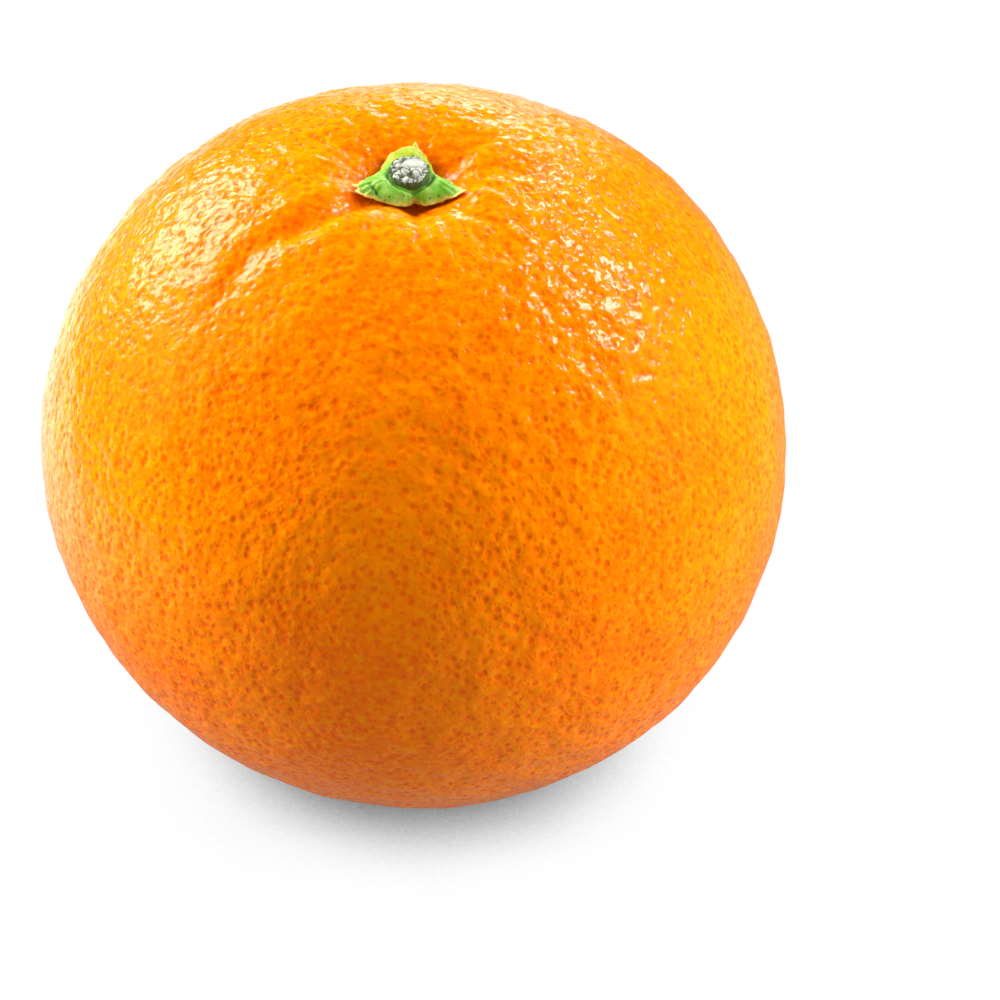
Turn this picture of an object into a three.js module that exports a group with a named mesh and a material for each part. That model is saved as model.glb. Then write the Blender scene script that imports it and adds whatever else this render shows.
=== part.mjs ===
// A whole orange as picked: the fruit, the green calyx in its stem cavity, and the stub of its cut stalk.
// Millimetres, +Z up. The origin is the middle of the small flat spot that the fruit rests on.

import * as THREE from "three";

const { clamp, degToRad, radToDeg, smoothstep } = THREE.MathUtils;

// The fruit is a slightly flattened ball
const equatorRadius = 40;
const poleRadius = 38.15; // middle to either end, before the cavity and the flat spot
const restRadius = 7.5; // the flat spot underneath
const lean = 0.021; // how much fuller the fruit is high on -X and low on +X

// The stem end
const stemAside = -0.5; // X of the stem axis, which is a little off the middle
const cavityDepth = 4.4;
const cavityRadius = 6.2; // the cavity is down to a third of its depth here
const seatGap = 0.3; // clearance between one piece and the next

// The calyx, measured from the stem axis
const calyxNotch = 3.1; // out to the cleft between two lobes
const calyxThickness = 0.9;
const collarHeight = 1; // the calyx rises this much around the stalk
const collarRadius = 2.7;
const lobes = [
  { azimuth: 83, reach: 5.6 },
  { azimuth: 201, reach: 6.3 },
  { azimuth: 337, reach: 6.1 },
];

const stubRadius = 2.05;
const stubHeight = 0.85;

// Creases in the peel that run out from the stem, each along one azimuth
const folds = [
  { azimuth: 216, start: 6, end: 27, width: 2.4, depth: 1.1 },
  { azimuth: 150, start: 4, end: 14, width: 1.6, depth: 0.4 },
  { azimuth: 35, start: 4, end: 13, width: 1.5, depth: 0.5 },
  { azimuth: 270, start: 3, end: 9, width: 1.4, depth: 0.4 },
];

// Mesh density
const fruitSegments = 56;
const fruitRows = 38;
const rowCrowding = 1.35; // above 1, the rows stand closer together near the stem
const calyxSegments = 54;
const calyxRows = 14;
const stubSegments = 28;

const centreHeight = poleRadius * Math.sqrt(1 - (restRadius / equatorRadius) ** 2);

function bell(distance, width) {
  return Math.exp(-((distance / width) ** 2));
}

// Signed turn from one azimuth to another in degrees, -180 to 180
function turn(from, to) {
  return ((((to - from) % 360) + 540) % 360) - 180;
}

function polar(x, y) {
  return { distance: Math.hypot(x - stemAside, y), azimuth: radToDeg(Math.atan2(y, x - stemAside)) };
}

// How far the peel lies below the round ball, from the cavity and the creases
function sunk(x, y) {
  const { distance, azimuth } = polar(x, y);
  let depth = cavityDepth * bell(distance, cavityRadius);
  for (const fold of folds) {
    const aside = distance * Math.sin(degToRad(clamp(turn(fold.azimuth, azimuth), -90, 90)));
    const rises = smoothstep(distance, fold.start * 0.5, fold.start * 1.4);
    const fades = 1 - smoothstep(distance, fold.end * 0.5, fold.end);
    depth += fold.depth * rises * fades * bell(aside, fold.width);
  }
  return depth;
}

// Height of the peel at the stem end
function peelHeight(x, y) {
  const round = poleRadius * Math.sqrt(1 - (x ** 2 + y ** 2) / equatorRadius ** 2);
  return centreHeight + round - sunk(x, y);
}

// Pushes a point outwards or inwards, which makes the fruit a little lopsided. The flat spot stays flat.
function leanPoint(point) {
  const rise = point.z - centreHeight;
  const corner = (point.x * rise) / (point.x ** 2 + point.y ** 2 + rise ** 2);
  const size = 1 - lean * corner * smoothstep(point.z, 0, 10);
  point.set(point.x * size, point.y * size, centreHeight + rise * size);
}

function reshape(geometry, place) {
  const position = geometry.getAttribute("position");
  const point = new THREE.Vector3();
  for (let i = 0; i < position.count; i++) {
    place(point.fromBufferAttribute(position, i));
    leanPoint(point);
    position.setXYZ(i, point.x, point.y, point.z);
  }
  geometry.computeVertexNormals();
  return geometry;
}

// Turns a profile of [distance, height] pairs about Z
function turned(profile, segments) {
  const points = profile.map(([distance, height]) => new THREE.Vector2(distance, height));
  return new THREE.LatheGeometry(points, segments).rotateX(Math.PI / 2);
}

function fruitGeometry() {
  const flatAngle = Math.PI - Math.asin(restRadius / equatorRadius);
  const profile = [[0, 0]];
  for (let row = 0; row <= fruitRows; row++) {
    const angle = flatAngle * (1 - row / fruitRows) ** rowCrowding;
    profile.push([equatorRadius * Math.sin(angle), centreHeight + poleRadius * Math.cos(angle)]);
  }
  return reshape(turned(profile, fruitSegments), (point) => {
    if (point.z > centreHeight) point.z -= sunk(point.x, point.y);
  });
}

// Distance from the stem axis to the calyx's edge: round lobes with a small point, and clefts between them
function calyxEdge(azimuth) {
  let edge = calyxNotch;
  for (const lobe of lobes) {
    const off = Math.min(Math.abs(turn(lobe.azimuth, azimuth)) / 62, 1);
    const round = Math.cos((off * Math.PI) / 2) ** 1.1;
    const tip = Math.exp(-off / 0.1) * (1 - off);
    edge = Math.max(edge, calyxNotch + (lobe.reach - calyxNotch) * (0.75 * round + 0.25 * tip));
  }
  return edge;
}

function calyxGeometry() {
  const ball = new THREE.SphereGeometry(1, calyxSegments, calyxRows).rotateX(Math.PI / 2);
  return reshape(ball, (point) => {
    const direction = Math.atan2(point.y, point.x);
    const distance = Math.min(Math.hypot(point.x, point.y), 1) * calyxEdge(radToDeg(direction));
    const x = stemAside + distance * Math.cos(direction);
    const y = distance * Math.sin(direction);
    const thickness = calyxThickness + collarHeight * Math.exp(-((distance / collarRadius) ** 4));
    const layer = (1 + Math.sign(point.z) * Math.abs(point.z) ** 0.6) / 2; // 0 underneath, 1 on top
    point.set(x, y, peelHeight(x, y) + seatGap + thickness * layer);
  });
}

// A short round stub with a worn top, a little higher on +X where the cut slants
function stubGeometry() {
  const base = peelHeight(stemAside, 0) + seatGap + calyxThickness + collarHeight + seatGap;
  const profile = [
    [0, 0],
    [stubRadius * 0.94, 0],
    [stubRadius, stubHeight * 0.25],
    [stubRadius * 0.95, stubHeight * 0.75],
    [stubRadius * 0.75, stubHeight],
    [0, stubHeight * 0.9],
  ];
  return reshape(turned(profile, stubSegments), (point) => {
    const slant = 1 + (0.12 * point.x) / stubRadius;
    point.set(point.x + stemAside, point.y, base + point.z * slant);
  });
}

function piece(name, geometry, color, roughness) {
  const mesh = new THREE.Mesh(geometry, new THREE.MeshStandardMaterial({ color, roughness, metalness: 0 }));
  mesh.name = name;
  return mesh;
}

const orange = new THREE.Group();
orange.add(piece("fruit", fruitGeometry(), "#ff8a00", 0.35));
orange.add(piece("calyx", calyxGeometry(), "#6fa02e", 0.5));
orange.add(piece("stalk_stub", stubGeometry(), "#c2c1b0", 0.9));

export default orange;
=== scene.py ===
import math

import bmesh
import bpy
from mathutils import Matrix, Vector, noise


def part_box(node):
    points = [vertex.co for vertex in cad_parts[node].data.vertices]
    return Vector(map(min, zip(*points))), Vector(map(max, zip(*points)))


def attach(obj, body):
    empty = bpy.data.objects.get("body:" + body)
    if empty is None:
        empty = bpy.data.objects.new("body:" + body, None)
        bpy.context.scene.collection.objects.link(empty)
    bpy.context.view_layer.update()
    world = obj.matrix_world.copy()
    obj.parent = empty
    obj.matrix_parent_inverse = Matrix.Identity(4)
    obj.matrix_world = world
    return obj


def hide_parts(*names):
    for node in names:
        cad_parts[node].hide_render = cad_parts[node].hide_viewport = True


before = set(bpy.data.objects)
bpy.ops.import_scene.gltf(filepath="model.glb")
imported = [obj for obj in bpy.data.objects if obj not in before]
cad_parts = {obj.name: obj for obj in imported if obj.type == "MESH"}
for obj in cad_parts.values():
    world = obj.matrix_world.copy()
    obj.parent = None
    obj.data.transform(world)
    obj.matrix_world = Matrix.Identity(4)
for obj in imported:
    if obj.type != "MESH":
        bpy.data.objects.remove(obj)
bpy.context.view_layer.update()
print("orange: frame loaded")

mm = 0.001

# The ball and its stem end, in metres. The pole is where the round outline would end without the cavity.
fruitLow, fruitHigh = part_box("fruit")
ball = {
    "equatorRadius": (fruitHigh.x - fruitLow.x) / 2,
    "flattening": 0.9537,
    "restRadius": 7.5 * mm,
    "lean": 0.021,  # fuller high on -X and low on +X
    "stemAside": -0.5 * mm,
    "shoulder": Vector((0.65, 0.5, 0.57)),  # the way to where the fruit swells a little
    "swell": 0.8 * mm,
    "cavityDepth": 4.4 * mm,
    "cavityRadius": 6.2 * mm,
}
ball["poleRadius"] = ball["equatorRadius"] * ball["flattening"]
ball["centreHeight"] = ball["poleRadius"] * math.sqrt(1 - (ball["restRadius"] / ball["equatorRadius"]) ** 2)

# Creases that run out from the stem, in degrees and millimetres. Each is steep on one side, and rises more
# gently to a low ridge on the side of greater azimuth.
creases = [
    {"azimuth": 213.5, "bend": -2.5, "start": 5, "end": 27, "width": 1.3, "depth": 1.1, "ridge": 0.4},
    {"azimuth": 150, "bend": 3, "start": 3.5, "end": 15, "width": 1.5, "depth": 0.45, "ridge": 0.1},
    {"azimuth": 122, "bend": -2, "start": 4, "end": 12, "width": 1.0, "depth": 0.22, "ridge": 0.1},
    {"azimuth": 35, "bend": -3, "start": 3, "end": 14, "width": 1.2, "depth": 0.5, "ridge": 0.25},
    {"azimuth": 60, "bend": 2, "start": 5, "end": 13, "width": 0.9, "depth": 0.3, "ridge": 0.2},
    {"azimuth": 5, "bend": 2, "start": 5, "end": 17, "width": 1.3, "depth": 0.35, "ridge": 0.2},
    {"azimuth": 312, "bend": 3, "start": 4, "end": 16, "width": 1.4, "depth": 0.35, "ridge": 0.15},
    {"azimuth": 278, "bend": 0, "start": 2, "end": 9, "width": 1.2, "depth": 0.8, "ridge": 0.0},
    {"azimuth": 243, "bend": -3, "start": 4, "end": 13, "width": 1.1, "depth": 0.25, "ridge": 0.1},
    {"azimuth": 180, "bend": 2, "start": 5, "end": 14, "width": 1.1, "depth": 0.25, "ridge": 0.15},
]


def smoothStep(low, high, value):
    share = min(max((value - low) / (high - low), 0), 1)
    return share * share * (3 - 2 * share)


def bell(distance, width):
    return math.exp(-((distance / width) ** 2))


def turnBetween(fromAzimuth, toAzimuth):
    return (toAzimuth - fromAzimuth + 180) % 360 - 180


def creaseDepth(distance, azimuth):
    depth = 0
    out = distance / mm
    for crease in creases:
        if not crease["start"] * 0.4 < out < crease["end"]:
            continue
        aim = crease["azimuth"] + crease["bend"] * math.sin(out * 0.45)
        aside = out * math.radians(turnBetween(aim, azimuth))
        width = crease["width"]
        if not -4 * width < aside < 7 * width:
            continue
        along = smoothStep(crease["start"] * 0.4, crease["start"] * 1.5, out)
        along *= 1 - smoothStep(crease["end"] * 0.45, crease["end"], out)
        along *= 1 + 0.5 * noise.noise(Vector((out * 0.4, crease["azimuth"], 0)))
        valley = bell(aside, width if aside < 0 else 1.4 * width)
        ridge = crease["ridge"] * bell(aside - 2.5 * width, 1.4 * width)
        ridge *= 1 - smoothStep(crease["end"] * 0.45, crease["end"] * 0.85, out)
        depth += along * (crease["depth"] * valley - ridge)
    return depth * mm


# Fine folds that fan out from the stem
pucker = {"depth": 0.3 * mm, "lobes": 8.5, "length": 14 * mm, "distance": 8 * mm, "spread": 6.5 * mm}


def puckerDepth(distance, aside, y):
    share = bell(distance - pucker["distance"], pucker["spread"]) * smoothStep(2 * mm, 5 * mm, distance)
    if share < 0.01:
        return 0
    fan = Vector((aside, y, 0)) * (pucker["lobes"] / distance)
    return pucker["depth"] * share * noise.noise(fan + Vector((0, 0, distance / pucker["length"])))


# folded is 1 with the creases at their full depth, and less for what bridges them
def sunkDepth(x, y, folded=1):
    aside = x - ball["stemAside"]
    distance = math.hypot(aside, y)
    azimuth = math.degrees(math.atan2(y, aside))
    folds = creaseDepth(distance, azimuth) + puckerDepth(distance, aside, y)
    return ball["cavityDepth"] * bell(distance, ball["cavityRadius"]) + folded * folds


def leaned(point):
    rise = point.z - ball["centreHeight"]
    corner = point.x * rise / (point.x ** 2 + point.y ** 2 + rise ** 2)
    size = 1 - ball["lean"] * corner * smoothStep(0, 10 * mm, point.z)
    return Vector((point.x * size, point.y * size, ball["centreHeight"] + rise * size))


def peelHeight(x, y, folded=1):
    level = ball["poleRadius"] * math.sqrt(1 - (x * x + y * y) / ball["equatorRadius"] ** 2)
    return ball["centreHeight"] + level - sunkDepth(x, y, folded)


# One number for a place, to sort by
def sortKey(point):
    return point.x + 7.31 * point.y + 53.7 * point.z


def finishMesh(build, name):
    build.verts.sort(key=lambda vert: sortKey(vert.co))  # a new sphere comes in no fixed order
    build.verts.index_update()
    build.faces.sort(key=lambda face: sortKey(face.calc_center_median()))
    mesh = bpy.data.meshes.new(name)
    build.to_mesh(mesh)
    build.free()
    mesh.shade_smooth()
    piece = bpy.data.objects.new(name, mesh)
    bpy.context.collection.objects.link(piece)
    return piece


def addNode(tree, kind, inputs=None, **settings):
    made = tree.nodes.new(kind)
    for setting, value in settings.items():
        setattr(made, setting, value)
    for socket, value in (inputs or {}).items():
        if isinstance(value, bpy.types.NodeSocket):
            tree.links.new(value, made.inputs[socket])
        else:
            made.inputs[socket].default_value = value
    return made


def addMath(tree, operation, first, second=0.0, third=0.0):
    return addNode(tree, "ShaderNodeMath", {0: first, 1: second, 2: third}, operation=operation).outputs[0]


def addRange(tree, value, fromMin, fromMax, toMin=0.0, toMax=1.0, kind="SMOOTHSTEP"):
    inputs = {"Value": value, "From Min": fromMin, "From Max": fromMax, "To Min": toMin, "To Max": toMax}
    return addNode(tree, "ShaderNodeMapRange", inputs, interpolation_type=kind).outputs["Result"]


def addNoise(tree, place, wave, detail=2.0, roughness=0.5):
    inputs = {"Vector": place, "Scale": 1 / wave, "Detail": detail, "Roughness": roughness}
    return addNode(tree, "ShaderNodeTexNoise", inputs).outputs[0]


def addMix(tree, factor, first, second):
    made = addNode(tree, "ShaderNodeMix", data_type="RGBA")
    for socket, value in ((0, factor), (6, first), (7, second)):
        if isinstance(value, bpy.types.NodeSocket):
            tree.links.new(value, made.inputs[socket])
        else:
            made.inputs[socket].default_value = value
    return made.outputs[2]


def newMaterial(name):
    material = bpy.data.materials.new(name)
    material.use_nodes = True
    tree = material.node_tree
    tree.nodes.clear()
    shader = addNode(tree, "ShaderNodeBsdfPrincipled")
    output = addNode(tree, "ShaderNodeOutputMaterial")
    tree.links.new(shader.outputs["BSDF"], output.inputs["Surface"])
    return material, tree, shader


# Oil glands: pits in the peel. Both the relief and the material make them here, so that they agree.
glands = {"spacing": 1.08 * mm, "smallSpacing": 0.6 * mm, "wander": 0.28 * mm, "wanderWave": 0.8 * mm}


def addWander(tree, place):
    inputs = {"Vector": place, "Scale": 1 / glands["wanderWave"], "Detail": 1.0}
    noisy = addNode(tree, "ShaderNodeTexNoise", inputs).outputs["Color"]
    centred = addNode(
        tree, "ShaderNodeVectorMath", {0: noisy, 1: (0.5, 0.5, 0.5)}, operation="SUBTRACT"
    ).outputs[0]
    shift = {0: centred, 1: (glands["wander"],) * 3, 2: place}
    return addNode(tree, "ShaderNodeVectorMath", shift, operation="MULTIPLY_ADD").outputs[0]


def addGlands(tree, place, spacing, inner, outer):
    inputs = {"Vector": place, "Scale": 1 / spacing, "Randomness": 0.9}
    cells = addNode(tree, "ShaderNodeTexVoronoi", inputs).outputs["Distance"]
    return addRange(tree, cells, inner, outer, 1.0, 0.0)


# The peel
peelRelief = {"dimple": 0.06 * mm, "lump": 0.55 * mm, "ripple": 0.28 * mm, "pebble": 0.38 * mm}


# The peel is coarse round the stem, most of all on +X, and finer down the sides
def addCoarseness(tree, place):
    parts = addNode(tree, "ShaderNodeSeparateXYZ", {0: place}).outputs
    across = addRange(tree, parts["X"], -14 * mm, 14 * mm, 0.3, 1.0)
    return addMath(tree, "MULTIPLY", across, addRange(tree, parts["Z"], 54 * mm, 67 * mm, 0.2, 1.0))


def addReliefModifier(piece):
    tree = bpy.data.node_groups.new("peelRelief", "GeometryNodeTree")
    tree.interface.new_socket("Geometry", in_out="INPUT", socket_type="NodeSocketGeometry")
    tree.interface.new_socket("Geometry", in_out="OUTPUT", socket_type="NodeSocketGeometry")
    place = addNode(tree, "GeometryNodeInputPosition").outputs[0]
    normal = addNode(tree, "GeometryNodeInputNormal").outputs[0]
    dimples = addGlands(tree, addWander(tree, place), glands["spacing"], 0.1, 0.7)
    lumps = addMath(tree, "SUBTRACT", addNoise(tree, place, 9 * mm, 1.0), 0.5)
    ripples = addMath(tree, "SUBTRACT", addNoise(tree, place, 3.2 * mm, 0.0), 0.5)
    height = addMath(tree, "MULTIPLY", dimples, -peelRelief["dimple"])
    height = addMath(tree, "MULTIPLY_ADD", lumps, peelRelief["lump"], height)
    height = addMath(tree, "MULTIPLY_ADD", ripples, peelRelief["ripple"], height)
    pebbles = addMath(tree, "SUBTRACT", addNoise(tree, place, 1.9 * mm, 0.0), 0.5)
    pebbles = addMath(tree, "MULTIPLY", pebbles, addCoarseness(tree, place))
    height = addMath(tree, "MULTIPLY_ADD", pebbles, peelRelief["pebble"], height)
    level = addNode(tree, "ShaderNodeSeparateXYZ", {0: place}).outputs["Z"]
    height = addMath(tree, "MULTIPLY", height, addRange(tree, level, 0.0, 2 * mm))
    offset = addNode(tree, "ShaderNodeVectorMath", {0: normal, "Scale": height}, operation="SCALE").outputs[0]
    source = addNode(tree, "NodeGroupInput").outputs[0]
    moved = addNode(tree, "GeometryNodeSetPosition", {"Geometry": source, "Offset": offset}).outputs[0]
    addNode(tree, "NodeGroupOutput", {0: moved})
    modifier = piece.modifiers.new("relief", "NODES")
    modifier.node_group = tree


def makePeel():
    build = bmesh.new()
    bmesh.ops.create_icosphere(build, subdivisions=5, radius=1)
    bmesh.ops.subdivide_edges(build, edges=build.edges[:], cuts=5, use_grid_fill=True)
    closeness = build.verts.layers.float.new("closeness")  # to the calyx
    floorLevel = -ball["centreHeight"] / ball["poleRadius"]
    for vert in build.verts:
        across = vert.co.normalized()
        if across.z < floorLevel:
            across = across * (floorLevel / across.z)  # lands on the flat spot
        point = Vector((across.x, across.y, 0)) * ball["equatorRadius"]
        point.z = ball["centreHeight"] + across.z * ball["poleRadius"]
        if across.z > 0:
            toStem = math.hypot(point.x - ball["stemAside"], point.y)
            # also the mask for the painted shade round the calyx
            vert[closeness] = 1 - smoothStep(2.8 * mm, 6.4 * mm, toStem)
            point.z -= sunkDepth(point.x, point.y)
        point += across * (ball["swell"] * bell((across - ball["shoulder"]).length, 0.38))
        if across.z < 0:
            point.z += 0.45 * mm * bell(math.hypot(point.x, point.y), 1.6 * mm)  # the scar of the flower
        vert.co = leaned(point)
    piece = finishMesh(build, "peel")
    addReliefModifier(piece)
    return piece


peelLook = {
    "deep": (0.95, 0.165, 0.0, 1),
    "bright": (1.0, 0.215, 0.0, 1),
    "net": (1.0, 0.32, 0.0, 1),
    # deeper orange of the pits: the glands' own tone and painted shade in the recesses
    "glandAndPitShade": (0.92, 0.115, 0.0, 1),
    # painted shade round the calyx
    "cavity": (0.62, 0.045, 0.0, 1),
    "scar": (0.12, 0.05, 0.012, 1),
    "pitDepth": 0.06 * mm,
    "smallPitDepth": 0.03 * mm,
    "wrinkle": 0.26 * mm,
    "flake": 0.11 * mm,
    "grain": 0.007 * mm,
}


def peelMaterial():
    material, tree, shader = newMaterial("waxyPeel")
    place = addNode(tree, "ShaderNodeTexCoord").outputs["Object"]
    wandering = addWander(tree, place)
    pits = addGlands(tree, wandering, glands["spacing"], 0.08, 0.5)
    smallPits = addGlands(tree, wandering, glands["smallSpacing"], 0.05, 0.45)
    coarseness = addCoarseness(tree, place)
    wrinkles = addMath(tree, "SUBTRACT", addNoise(tree, place, 1.3 * mm, 0.3), 0.5)
    wrinkles = addMath(tree, "MULTIPLY", wrinkles, addRange(tree, coarseness, 0.1, 0.6, 0.55, 1.0))
    flakes = addMath(tree, "SUBTRACT", addNoise(tree, place, 0.75 * mm, 0.5), 0.5)
    flakes = addMath(tree, "MULTIPLY", flakes, addRange(tree, coarseness, 0.2, 0.6, 1.0, 0.4))
    level = addNode(tree, "ShaderNodeSeparateXYZ", {0: place}).outputs["Z"]
    flakes = addMath(tree, "MULTIPLY", flakes, addRange(tree, level, 40 * mm, 58 * mm, 0.45, 1.0))
    grain = addNoise(tree, place, 0.3 * mm, 1.0)

    blotch = addRange(tree, addNoise(tree, place, 14 * mm, 3.0), 0.3, 0.7)
    colour = addMix(tree, blotch, peelLook["deep"], peelLook["bright"])
    mottle = addRange(tree, addNoise(tree, place, 0.7 * mm, 2.0, 0.6), 0.42, 0.7)
    colour = addMix(tree, addMath(tree, "MULTIPLY", mottle, 0.65), colour, peelLook["net"])
    # Darker orange in the gland pits: partly the glands' own deeper tone, partly painted shade in the
    # recesses
    colour = addMix(tree, addMath(tree, "MULTIPLY", smallPits, 0.6), colour, peelLook["glandAndPitShade"])
    colour = addMix(tree, addMath(tree, "MULTIPLY", pits, 0.85), colour, peelLook["glandAndPitShade"])
    closeness = addNode(tree, "ShaderNodeAttribute", attribute_name="closeness").outputs["Fac"]
    # Painted shade: the peel darker and redder round the calyx, fading out by 6.4 mm from the stem
    colour = addMix(tree, addMath(tree, "MULTIPLY", closeness, 0.25), colour, peelLook["cavity"])
    fromScar = addNode(tree, "ShaderNodeVectorMath", {0: place}, operation="LENGTH").outputs["Value"]
    colour = addMix(tree, addRange(tree, fromScar, 1.2 * mm, 2.0 * mm, 0.9, 0.0), colour, peelLook["scar"])
    tree.links.new(colour, shader.inputs["Base Color"])

    height = addMath(tree, "MULTIPLY", pits, -peelLook["pitDepth"])
    height = addMath(tree, "MULTIPLY_ADD", smallPits, -peelLook["smallPitDepth"], height)
    height = addMath(tree, "MULTIPLY_ADD", wrinkles, peelLook["wrinkle"], height)
    height = addMath(tree, "MULTIPLY_ADD", flakes, peelLook["flake"], height)
    height = addMath(tree, "MULTIPLY_ADD", grain, peelLook["grain"], height)
    bump = addNode(tree, "ShaderNodeBump", {"Height": height, "Distance": 1.0, "Strength": 1.0}).outputs[0]
    tree.links.new(bump, shader.inputs["Normal"])

    roughness = addMath(tree, "MULTIPLY_ADD", pits, 0.08, addRange(tree, coarseness, 0.1, 0.6, 0.15, 0.1))
    tree.links.new(roughness, shader.inputs["Roughness"])
    shader.inputs["IOR"].default_value = 1.2
    shader.inputs["Subsurface Weight"].default_value = 0.1
    shader.inputs["Subsurface Radius"].default_value = (1.0, 0.35, 0.08)
    shader.inputs["Subsurface Scale"].default_value = 1.5 * mm
    return material


peel = makePeel()
peel.data.materials.append(peelMaterial())
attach(peel, "root")
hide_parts("fruit")
print("orange: peel made,", len(peel.data.polygons), "faces")

# The calyx. Each pair is an azimuth in degrees and how far the edge is from the stem axis, in millimetres.
calyxShape = {
    "edge": [
        (29, 3.05), (45, 3.3), (60, 3.9), (72, 4.6), (80, 5.05), (85, 5.75), (89, 5.35), (98, 5.2),
        (112, 4.85), (130, 4.2), (147, 3.7), (163, 3.9), (178, 4.55), (190, 5.2), (196, 6.15), (200, 5.55),
        (204, 6.1), (210, 5.45), (221, 4.75), (235, 4.2), (246, 3.85), (256, 3.45), (266, 3.05), (274, 2.75),
        (281, 2.65), (288, 2.95), (297, 3.6), (307, 4.15), (318, 4.65), (330, 5.5), (336, 6.15), (341, 5.45),
        (351, 4.4), (5, 3.6),
    ],
    "folded": 0.25,
    "seat": 0.12 * mm,
    "edgeThickness": 0.4 * mm,
    "collarThickness": 2.1 * mm,
    "collarRadius": 1.9 * mm,
}


def calyxEdge(azimuth):
    points = sorted(calyxShape["edge"])
    points = [(points[-1][0] - 360, points[-1][1])] + points + [(points[0][0] + 360, points[0][1])]
    azimuth %= 360
    for (before, near), (after, far) in zip(points, points[1:]):
        if before <= azimuth <= after:
            share = (azimuth - before) / (after - before)
            return (near + (far - near) * share * share * (3 - 2 * share)) * mm
    return near * mm


# A short curved step across the lobe on -X
def calyxStep(azimuth, distance):
    return bell(distance - 4.2 * mm, 0.22 * mm) * bell(turnBetween(213, azimuth), 15)


# Domed from the collar round the stalk down to the edge of each lobe
def calyxThickness(azimuth, distance, edge):
    spot = Vector((math.cos(math.radians(azimuth)), math.sin(math.radians(azimuth)), 0)) * (distance / mm)
    collar = calyxShape["collarRadius"]
    fall = min(max((distance - collar) / (edge - collar), 0), 1) ** 2.1
    thickness = calyxShape["collarThickness"] * (1 - fall) + calyxShape["edgeThickness"] * fall
    thickness += 0.16 * mm * noise.noise(spot * 0.8) + 0.02 * mm * noise.noise(spot * 2.6)
    thickness -= 0.4 * mm * calyxStep(azimuth, distance)
    thickness += 0.3 * mm * bell((spot - Vector((-2.9, -1.5, 0))).length, 0.9)
    thickness += 0.25 * mm * bell((spot - Vector((3.0, -1.3, 0))).length, 0.9)
    return thickness - 0.3 * mm * bell(distance - 2.2 * mm, 0.2 * mm)  # the groove round the stalk


def calyxSmoothEdge(azimuth):
    return sum(calyxEdge(azimuth + aside) for aside in (-16, -8, 0, 8, 16)) / 5


def makeCalyx():
    build = bmesh.new()
    bmesh.ops.create_uvsphere(build, u_segments=288, v_segments=64, radius=1)
    rim = build.verts.layers.float.new("rim")
    stepShade = build.verts.layers.float.new("stepShade")
    for vert in build.verts:
        azimuth = math.degrees(math.atan2(vert.co.y, vert.co.x))
        share = min(math.hypot(vert.co.x, vert.co.y), 1)
        edge = calyxEdge(azimuth)
        distance = share * edge
        x = ball["stemAside"] + distance * math.cos(math.radians(azimuth))
        y = distance * math.sin(math.radians(azimuth))
        layer = (1 + math.copysign(abs(vert.co.z) ** 0.6, vert.co.z)) / 2
        vert[rim] = smoothStep(0.9, 0.99, share) * (0.4 + 0.6 * smoothStep(4 * mm, 5.6 * mm, distance))
        # painted shade along the step, just inside it
        vert[stepShade] = calyxStep(azimuth, distance - 0.12 * mm)
        seat = peelHeight(x, y, calyxShape["folded"]) + calyxShape["seat"]
        thickness = calyxThickness(azimuth, distance, calyxSmoothEdge(azimuth))
        vert.co = leaned(Vector((x, y, seat + thickness * layer)))
    return finishMesh(build, "calyxStar")


calyxLook = {
    "green": (0.13, 0.38, 0.018, 1),
    "lightGreen": (0.32, 0.56, 0.10, 1),
    "ripe": (0.28, 0.36, 0.012, 1),  # the lobe on +Y
    "edge": (0.80, 0.58, 0.12, 1),
    # painted shade along the step, and the calyx's own dark specks
    "speckAndStepShade": (0.03, 0.08, 0.01, 1),
}


def calyxMaterial():
    material, tree, shader = newMaterial("calyxGreen")
    place = addNode(tree, "ShaderNodeTexCoord").outputs["Object"]
    rim = addNode(tree, "ShaderNodeAttribute", attribute_name="rim").outputs["Fac"]
    mottle = addRange(tree, addNoise(tree, place, 2.0 * mm, 3.0), 0.38, 0.7)
    colour = addMix(tree, mottle, calyxLook["green"], calyxLook["lightGreen"])
    backward = addNode(tree, "ShaderNodeSeparateXYZ", {0: place}).outputs["Y"]
    colour = addMix(tree, addRange(tree, backward, 0.8 * mm, 3.4 * mm), colour, calyxLook["ripe"])
    colour = addMix(tree, rim, colour, calyxLook["edge"])
    stepShade = addNode(tree, "ShaderNodeAttribute", attribute_name="stepShade").outputs["Fac"]
    # Painted shade along the step across the lobe on -X
    colour = addMix(tree, addMath(tree, "MULTIPLY", stepShade, 0.6), colour, calyxLook["speckAndStepShade"])
    specks = addGlands(tree, addWander(tree, place), 0.62 * mm, 0.04, 0.3)
    colour = addMix(tree, addMath(tree, "MULTIPLY", specks, 0.75), colour, calyxLook["speckAndStepShade"])
    tree.links.new(colour, shader.inputs["Base Color"])
    height = addMath(tree, "MULTIPLY", addNoise(tree, place, 0.5 * mm, 3.0), 0.06 * mm)
    height = addMath(tree, "MULTIPLY_ADD", specks, -0.04 * mm, height)
    bump = addNode(tree, "ShaderNodeBump", {"Height": height, "Distance": 1.0}).outputs[0]
    tree.links.new(bump, shader.inputs["Normal"])
    shader.inputs["Roughness"].default_value = 0.4
    shader.inputs["IOR"].default_value = 1.3
    shader.inputs["Subsurface Weight"].default_value = 0.1
    shader.inputs["Subsurface Radius"].default_value = (0.5, 1.0, 0.2)
    shader.inputs["Subsurface Scale"].default_value = 0.5 * mm
    return material


calyx = makeCalyx()
calyx.data.materials.append(calyxMaterial())
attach(calyx, "root")
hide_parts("calyx")
print("orange: calyx made")

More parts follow.
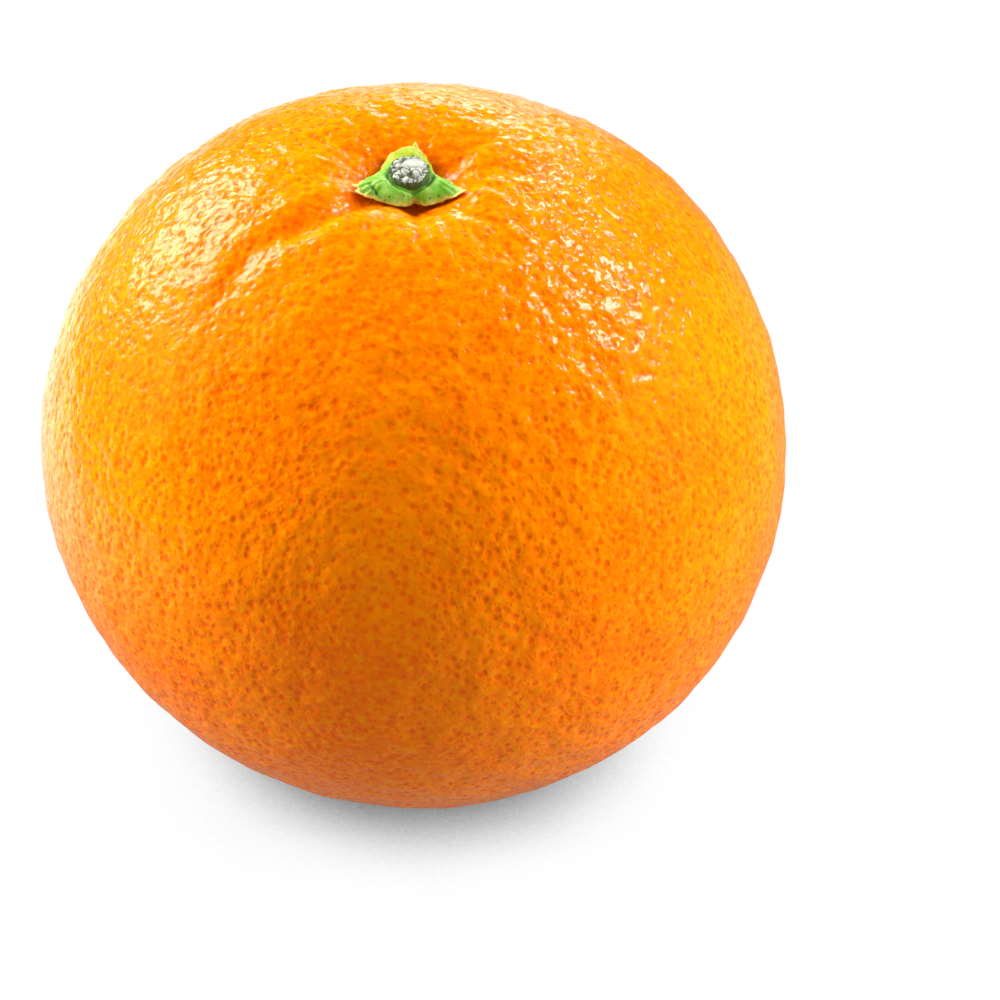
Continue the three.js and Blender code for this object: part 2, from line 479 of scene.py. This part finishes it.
# The stub of the stalk. Its cut top has a smooth plug of pith, set off the middle, and crumbs round it.
stubLow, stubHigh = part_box("stalk_stub")
stubShape = {
    "radius": (stubHigh.x - stubLow.x) / 2,
    "sink": 0.5 * mm,  # its foot goes down into the calyx's groove
    "taper": 0.0,
    "topShift": Vector((-0.05, 0.4, 0.25)) * mm,
    "crumb": 0.8 * mm,
    "plug": Vector((0.45, 0.8, 0)) * mm,
    "plugSize": (1.25 * mm, 0.85 * mm),
    "fibres": [Vector((1.1, 1.35, 0)) * mm, Vector((1.65, 0.8, 0)) * mm, Vector((-0.7, 1.5, 0)) * mm],
}


# Lift of the cut top at an offset from its middle, and how deep in a gap between two crumbs that is
def stubTop(offset):
    toPlug = offset - stubShape["plug"]
    fromPlug = math.hypot(toPlug.x / stubShape["plugSize"][0], toPlug.y / stubShape["plugSize"][1])
    outside = smoothStep(0.85, 1.15, fromPlug)
    spot = offset / (0.5 * mm)
    wobble = Vector((noise.noise(spot), noise.noise(spot + Vector((0, 0, 5.3))), 0)) * 0.35
    near = noise.voronoi(offset / stubShape["crumb"] + wobble)[0]
    shadedGap = (1 - smoothStep(0.02, 0.24, near[1] - near[0])) * outside
    lift = 0.34 * mm * (0.5 - near[0]) * outside - 0.16 * mm * shadedGap
    lift += 0.1 * mm * noise.noise(offset / (0.35 * mm)) * (0.3 + 0.7 * outside)
    lift -= 0.16 * mm * bell(fromPlug - 1, 0.14)
    lift += sum(0.45 * mm * bell((offset - fibre).length, 0.09 * mm) for fibre in stubShape["fibres"])
    lift -= 0.3 * mm * smoothStep(0.2 * mm, 2 * mm, -offset.x * 0.5 - offset.y)
    return lift, shadedGap


def makeStub():
    build = bmesh.new()
    bmesh.ops.create_uvsphere(build, u_segments=200, v_segments=128, radius=1)
    gapLayer = build.verts.layers.float.new("shadedGap")
    barkLayer = build.verts.layers.float.new("bark")
    middle = Vector(((stubLow.x + stubHigh.x) / 2, (stubLow.y + stubHigh.y) / 2, 0))
    foot = stubLow.z - stubShape["sink"]
    height = stubHigh.z - foot
    for vert in build.verts:
        share = min(math.hypot(vert.co.x, vert.co.y), 1)
        out = min(share * 1.12, 1) if vert.co.z > 0 else share ** 0.45
        direction = Vector((vert.co.x, vert.co.y, 0)).normalized() if share > 0.0001 else Vector()
        level = (1 + math.copysign(abs(vert.co.z) ** 0.3, vert.co.z)) / 2
        ragged = noise.noise(direction * 1.7) + 0.6 * noise.noise(direction * 4.5)
        offset = direction * out * stubShape["radius"]
        lift, shadedGap = stubTop(offset)
        top = smoothStep(0.55, 0.95, level)
        # the cracks' mask, which also paints their shade
        vert[gapLayer] = shadedGap * top
        vert[barkLayer] = 1 - smoothStep(0.66, 0.84, level - 0.3 * smoothStep(0.9, 1, out) + 0.12 * ragged)
        offset *= (1 + 0.05 * ragged * level) * (1 - stubShape["taper"] * level)
        point = middle + offset + stubShape["topShift"] * level
        point.z = foot + height * 0.95 * level + lift * top
        vert.co = leaned(point)
    return finishMesh(build, "cutStalk")


stubLook = {
    "pale": (0.50, 0.51, 0.44, 1),
    "grey": (0.38, 0.41, 0.35, 1),
    # painted shade in the cracks between crumbs
    "shadedGap": (0.17, 0.19, 0.10, 1),
    "bark": (0.05, 0.10, 0.018, 1),
}


def stubMaterial():
    material, tree, shader = newMaterial("crumblyStalk")
    place = addNode(tree, "ShaderNodeTexCoord").outputs["Object"]
    shadedGap = addNode(tree, "ShaderNodeAttribute", attribute_name="shadedGap").outputs["Fac"]
    bark = addNode(tree, "ShaderNodeAttribute", attribute_name="bark").outputs["Fac"]
    mottle = addRange(tree, addNoise(tree, place, 0.5 * mm, 3.0, 0.6), 0.36, 0.6)
    colour = addMix(tree, mottle, stubLook["grey"], stubLook["pale"])
    # Painted shade: darker in the cracks between crumbs
    colour = addMix(tree, shadedGap, colour, stubLook["shadedGap"])
    streaks = addNoise(tree, place, 0.25 * mm, 2.0)
    barkShare = addRange(tree, addMath(tree, "MULTIPLY_ADD", streaks, 0.6, bark), 0.7, 1.0)
    colour = addMix(tree, barkShare, colour, stubLook["bark"])
    tree.links.new(colour, shader.inputs["Base Color"])
    height = addMath(tree, "MULTIPLY", addNoise(tree, place, 0.25 * mm, 3.0, 0.6), 0.12 * mm)
    bump = addNode(tree, "ShaderNodeBump", {"Height": height, "Distance": 1.0}).outputs[0]
    tree.links.new(bump, shader.inputs["Normal"])
    shader.inputs["Roughness"].default_value = 0.75
    return material


stub = makeStub()
stub.data.materials.append(stubMaterial())
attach(stub, "root")
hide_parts("stalk_stub")
print("orange: stalk stub made")

# Floor, lights and camera
fruitMiddle = Vector((0, 0, ball["centreHeight"]))
studio = {
    "floorHalf": 6.0,
    "ambient": 0.28,
    "bounce": 0.65,  # how much of the table's glow lights the fruit
    # the side, near, far and back glare are painted reflections on the table, seen only by the wax's mirror
    # rays
    "sideGlare": 1.8,  # how bright the wax mirrors the table close behind and on -X
    "nearGlare": 0.28,  # close to the rest of the fruit
    "farGlare": 0.07,
    "backGlare": 2.0,  # a patch of light on the table far behind
    "roomGlare": 0.01,  # what the wax mirrors between the softboxes
    "softboxes": [  # these make the highlights: name, azimuth, elevation, distance, size and power
        ("left", 134, 20, 1.2, (0.62, 0.56), 17.0),
        ("right", 25, 36, 1.2, (0.33, 0.33), 15.5),
        ("rightStrip", 63, 32, 1.2, (0.055, 0.6), 4.0),
        ("back", 82, 7, 1.4, (0.4, 0.22), 2.5),
    ],
    "fills": [  # and these the soft light, which the wax doesn't mirror: azimuth, elevation, strength, spread
        ("leftFill", 154, 15, 11.2, 60),
        ("rightFill", 12, 9, 9.6, 60),
        ("backFill", 76, 14, 1.6, 40),
    ],
}


# What the wax mirrors of the table at a place on it: painted reflections, which only glossy rays see
def addGlare(tree, place):
    distance = addNode(tree, "ShaderNodeVectorMath", {0: place}, operation="LENGTH").outputs["Value"]
    parts = addNode(tree, "ShaderNodeSeparateXYZ", {0: place}).outputs
    side = Vector((-0.8, 0.6, 0))
    sideways = addNode(tree, "ShaderNodeVectorMath", {0: place, 1: side}, operation="DOT_PRODUCT")
    sideways = sideways.outputs["Value"]
    near = addRange(tree, sideways, 30 * mm, 100 * mm, studio["nearGlare"], studio["sideGlare"])
    glare = addRange(tree, distance, 0.1, 0.25, near, studio["farGlare"])
    # A painted patch of light on the table far behind, seen only in reflections
    slant = addMath(tree, "DIVIDE", parts["X"], addMath(tree, "MAXIMUM", parts["Y"], 1 * mm))
    fromPatch = addMath(tree, "ABSOLUTE", addMath(tree, "SUBTRACT", slant, 0.1))
    patch = addRange(tree, fromPatch, 0.08, 0.28, studio["backGlare"], 0.0)
    patch = addMath(tree, "MULTIPLY", patch, addRange(tree, parts["Y"], 0.2, 0.45))
    return addMath(tree, "ADD", patch, glare)


# A white table that glows, though no lamp lights it: painted light. It is darker only where the fruit closes
# it off, a painted shadow from ambient occlusion.
def makeFloor():
    build = bmesh.new()
    bmesh.ops.create_grid(build, x_segments=1, y_segments=1, size=studio["floorHalf"])
    floor = finishMesh(build, "floor")
    material, tree, shader = newMaterial("glowingTablePaintedShadow")
    path = addNode(tree, "ShaderNodeLightPath").outputs
    openness = addNode(tree, "ShaderNodeAmbientOcclusion", {"Distance": 0.3}, samples=16).outputs["AO"]
    # painted shadow: the glow dims where ambient occlusion finds the fruit close
    shadowedGlow = addRange(tree, openness, 0.16, 0.46, 0.06, 1.0)
    share = addRange(tree, path["Is Diffuse Ray"], 0.0, 1.0, 1.0, studio["bounce"], "LINEAR")
    glare = addGlare(tree, addNode(tree, "ShaderNodeTexCoord").outputs["Object"])
    # Painted reflections: glossy rays see the table at the glare's brightness
    share = addRange(tree, path["Is Glossy Ray"], 0.0, 1.0, share, glare, "LINEAR")
    tree.links.new(addMath(tree, "MULTIPLY", shadowedGlow, share), shader.inputs["Emission Strength"])
    shader.inputs["Emission Color"].default_value = (1, 1, 1, 1)
    shader.inputs["Base Color"].default_value = (0, 0, 0, 1)
    shader.inputs["Roughness"].default_value = 1.0
    shader.inputs["Specular IOR Level"].default_value = 0.0
    floor.data.materials.append(material)


def towards(azimuth, elevation):
    azimuth, elevation = math.radians(azimuth), math.radians(elevation)
    level = math.cos(elevation)
    return Vector((math.cos(azimuth) * level, math.sin(azimuth) * level, math.sin(elevation)))


def placeLamp(data, out, distance):
    lamp = bpy.data.objects.new(data.name, data)
    lamp.location = fruitMiddle + out * distance
    lamp.rotation_mode = "QUATERNION"
    lamp.rotation_quaternion = out.to_track_quat("Z", "Y")
    lamp.visible_camera = False
    bpy.context.collection.objects.link(lamp)
    return lamp


def makeLights():
    for name, azimuth, elevation, distance, size, power in studio["softboxes"]:
        data = bpy.data.lights.new(name, "AREA")
        data.shape = "RECTANGLE"
        data.size, data.size_y = size
        data.energy = power
        placeLamp(data, towards(azimuth, elevation), distance).visible_diffuse = False
    for name, azimuth, elevation, strength, spread in studio["fills"]:
        data = bpy.data.lights.new(name, "SUN")
        data.energy = strength
        data.angle = math.radians(spread)
        placeLamp(data, towards(azimuth, elevation), 1).visible_glossy = False


def makeWorld():
    world = bpy.data.worlds.new("studio")
    world.use_nodes = True
    tree = world.node_tree
    path = addNode(tree, "ShaderNodeLightPath").outputs
    mirrored = addRange(
        tree, path["Is Glossy Ray"], 0.0, 1.0, studio["ambient"], studio["roomGlare"], "LINEAR"
    )
    strength = addRange(tree, path["Is Camera Ray"], 0.0, 1.0, mirrored, 1.0, "LINEAR")
    background = tree.nodes["Background"]
    background.inputs["Color"].default_value = (1, 1, 1, 1)
    tree.links.new(strength, background.inputs["Strength"])
    bpy.context.scene.world = world


# The camera looks past the fruit a little to the right and below, which leaves the fruit high on the left.
cameraPlace = {"elevation": 42, "distance": 0.36, "lens": 119.8, "aimRight": 9.15 * mm, "aimBelow": 6.06 * mm}


def makeCamera():
    elevation = math.radians(cameraPlace["elevation"])
    back = Vector((0, -math.cos(elevation), math.sin(elevation)))
    up = Vector((0, math.sin(elevation), math.cos(elevation)))
    aim = fruitMiddle + Vector((cameraPlace["aimRight"], 0, 0)) - up * cameraPlace["aimBelow"]
    data = bpy.data.cameras.new("camera")
    data.sensor_width = 36
    data.lens = cameraPlace["lens"]
    data.clip_start, data.clip_end = 0.01, 20
    camera = bpy.data.objects.new("camera", data)
    camera.location = fruitMiddle + back * cameraPlace["distance"]
    camera.rotation_mode = "QUATERNION"
    forward = (aim - camera.location).normalized()
    right = (Vector((1, 0, 0)) - forward * forward.x).normalized()  # keeps the stem upright in the view
    turned = Matrix((right, right.cross(forward), -forward)).transposed()
    camera.rotation_quaternion = turned.to_quaternion()
    bpy.context.collection.objects.link(camera)
    bpy.context.scene.camera = camera


makeFloor()
makeLights()
makeWorld()
makeCamera()
bpy.context.scene.view_settings.view_transform = "Standard"
print("orange: floor, lights and camera made")
